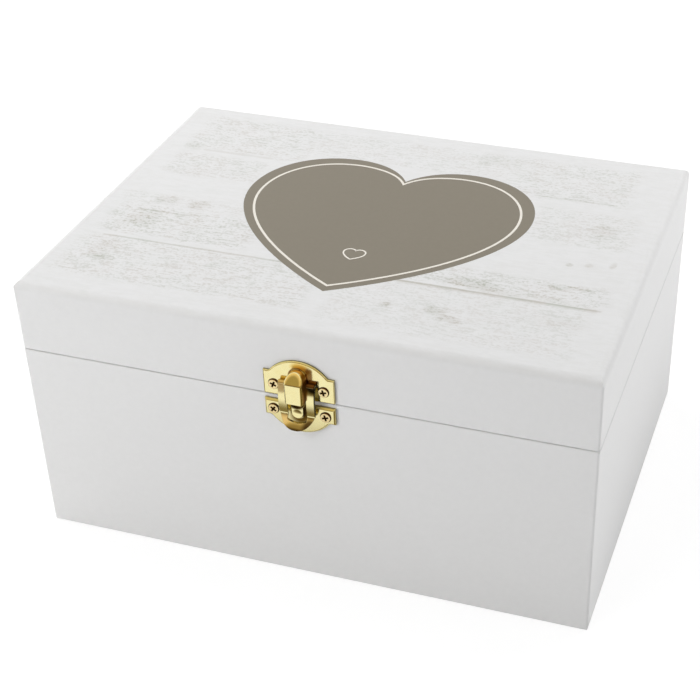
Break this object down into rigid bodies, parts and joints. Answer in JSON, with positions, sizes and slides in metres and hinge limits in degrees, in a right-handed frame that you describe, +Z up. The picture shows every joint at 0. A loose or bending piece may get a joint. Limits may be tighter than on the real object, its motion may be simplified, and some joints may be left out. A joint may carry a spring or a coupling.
{
  "type": "keepsake box",
  "caption": "White painted wooden keepsake box with a hinged lid, a brass swing catch at the front and brass stop hinges at the back.",
  "frame": {"origin": "centre of the box's underside, without the brass", "axes": "+X to the box's right along its width, -Y out of the front where the catch is, +Z up"},
  "size_m": [0.29, 0.2268, 0.146],
  "materials": {
    "painted_wood": "satin white paint on fibreboard",
    "catch_brass": "polished brass plating",
    "hinge_brass": "brass plating",
    "screw_brass": "brass plated screws"
  },
  "bodies": {
    "base": {"base_front_panel": "painted_wood", "base_back_panel": "painted_wood", "base_left_panel": "painted_wood", "base_right_panel": "painted_wood", "base_bottom_panel": "painted_wood", "catch_base_plate": "catch_brass", "catch_base_screws": "screw_brass", "left_hinge_base_leaf": "hinge_brass", "left_hinge_pin": "hinge_brass", "left_hinge_base_screws": "screw_brass", "right_hinge_base_leaf": "hinge_brass", "right_hinge_pin": "hinge_brass", "right_hinge_base_screws": "screw_brass"},
    "lid": {"lid_top_panel": "painted_wood", "lid_front_rail": "painted_wood", "lid_back_rail": "painted_wood", "lid_left_rail": "painted_wood", "lid_right_rail": "painted_wood", "catch_lid_plate": "catch_brass", "catch_lid_screws": "screw_brass", "catch_hasp_pin": "catch_brass", "left_hinge_lid_leaf": "hinge_brass", "left_hinge_lid_screws": "screw_brass", "right_hinge_lid_leaf": "hinge_brass", "right_hinge_lid_screws": "screw_brass"},
    "hasp": {"catch_hasp": "catch_brass"}
  },
  "joints": [
    {"name": "lid_hinge", "type": "hinge", "parent": "base", "child": "lid", "pos_m": [0, 0.1088, 0.108], "axis": [-1, 0, 0], "range_deg": [0, 95]},
    {"name": "catch_swing", "type": "hinge", "parent": "lid", "child": "hasp", "pos_m": [0.0018, -0.1101, 0.118], "axis": [-1, 0, 0], "range_deg": [0, 160]}
  ]
}
